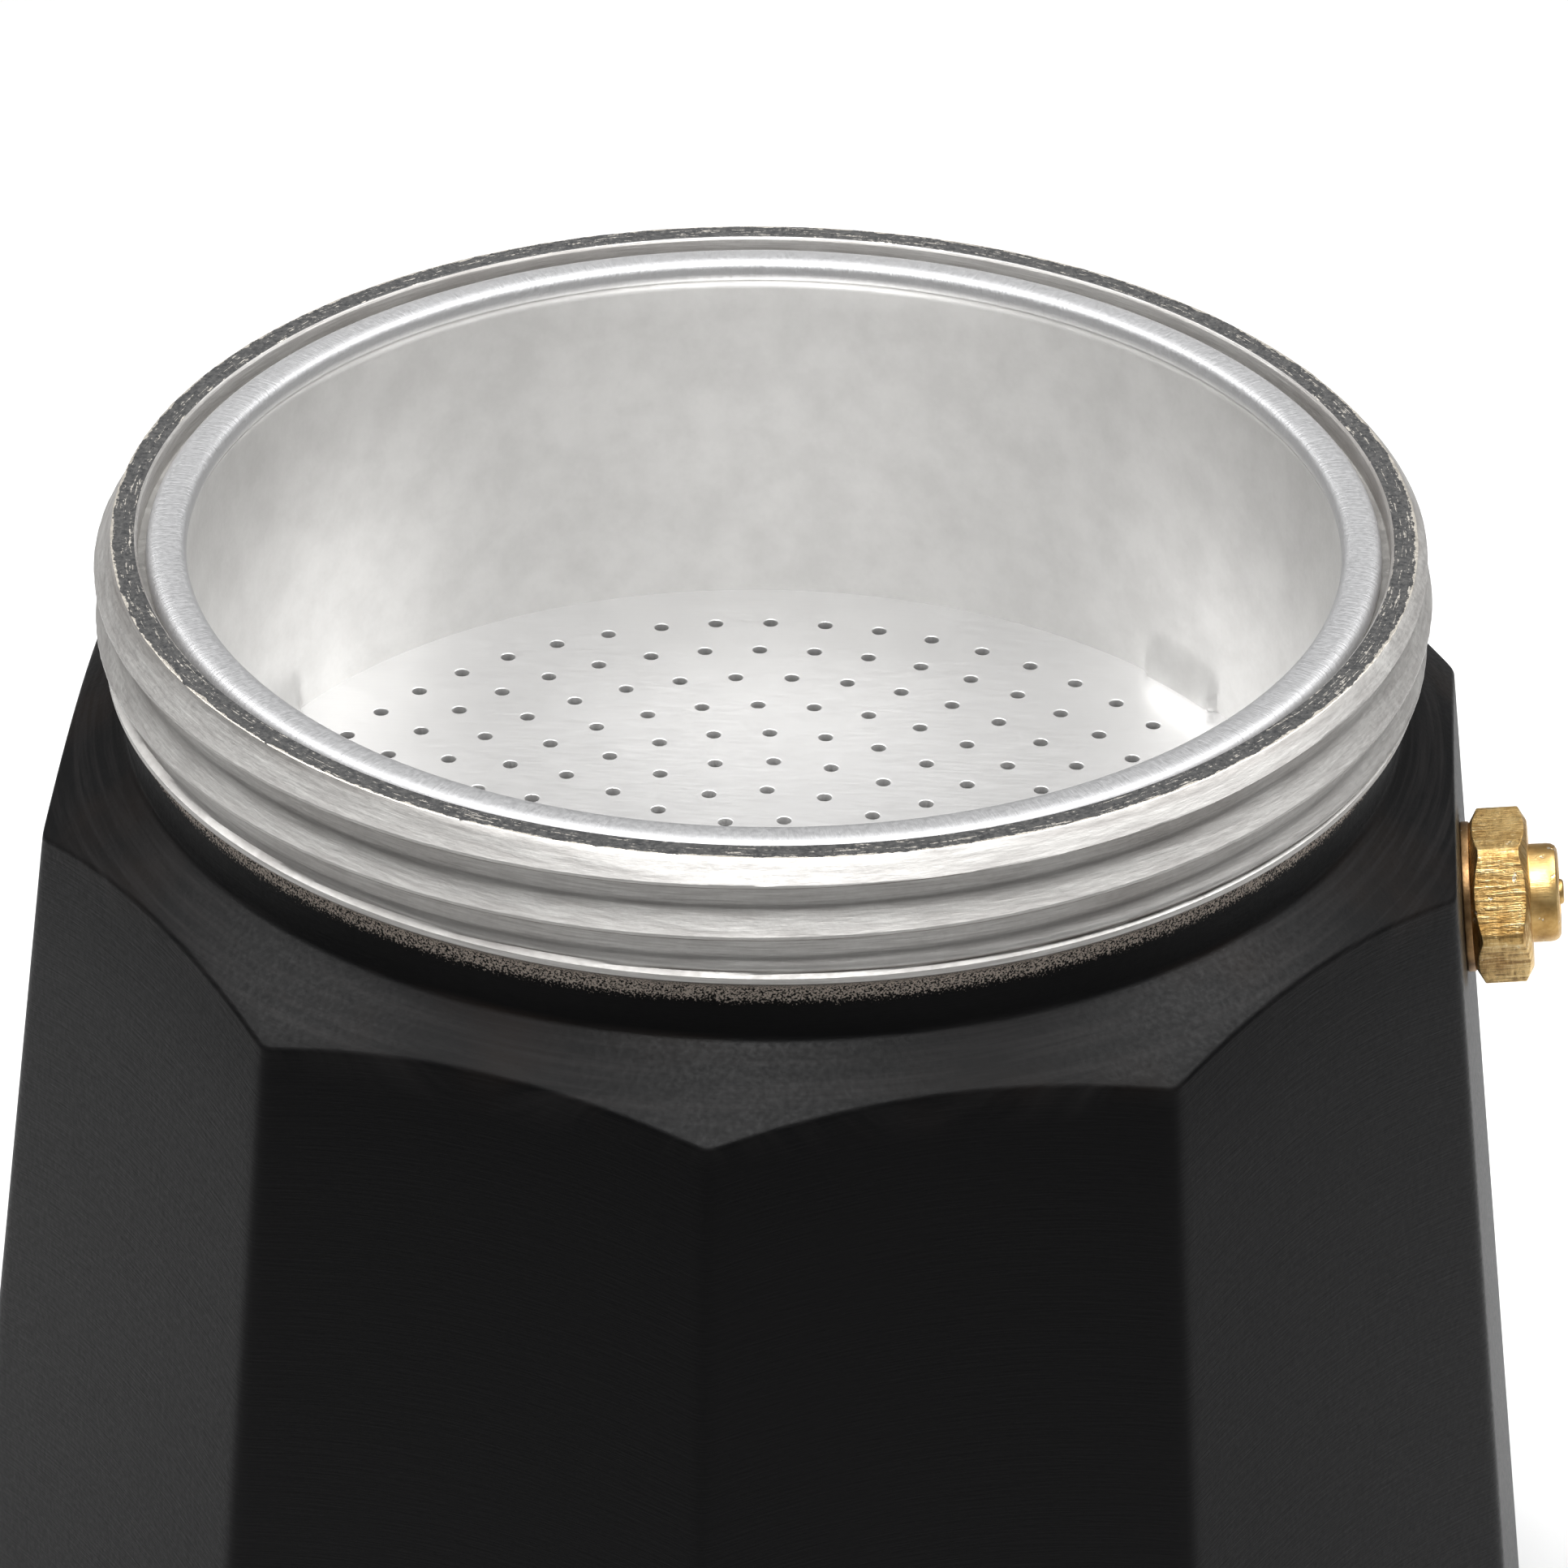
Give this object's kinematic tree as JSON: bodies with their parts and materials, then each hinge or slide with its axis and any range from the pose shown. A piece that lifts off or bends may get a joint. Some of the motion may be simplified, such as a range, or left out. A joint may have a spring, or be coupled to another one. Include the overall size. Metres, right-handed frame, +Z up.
{
  "type": "moka pot boiler",
  "caption": "Ten-sided stove-top coffee maker boiler with a threaded neck, lift-out filter funnel and brass safety valve.",
  "frame": {"origin": "centre of the resting face", "axes": "+Z up through the neck, +X square to the facet that carries the safety valve"},
  "size_m": [0.1172, 0.1232, 0.108],
  "materials": {
    "coated_aluminium": "satin black heat-proof coat on cast aluminium; the turned neck and thread are bare",
    "funnel_aluminium": "fine satin",
    "disc_aluminium": "rolled sheet, satin",
    "valve_brass": "brushed and turned",
    "washer_metal": "tarnished bronze",
    "spring_steel": "drawn wire"
  },
  "bodies": {
    "boiler": {"boiler_body": "coated_aluminium", "valve_body": "valve_brass", "valve_washer": "washer_metal", "valve_cap": "valve_brass", "valve_spring": "spring_steel"},
    "funnel": {"funnel_cup": "funnel_aluminium", "filter_disc": "disc_aluminium", "funnel_stem": "funnel_aluminium"},
    "poppet": {"valve_poppet": "valve_brass"}
  },
  "joints": [
    {"name": "funnel_lift", "type": "slide", "parent": "boiler", "child": "funnel", "axis": [0, 0, 1], "range_m": [0, 0.1]},
    {"name": "valve_lift", "type": "slide", "parent": "boiler", "child": "poppet", "axis": [0.9933, 0, 0.1153], "range_m": [0, 0.0012], "stiffness_N_per_m": 600, "springref_m": -0.0027, "deforming": ["valve_spring"]}
  ]
}
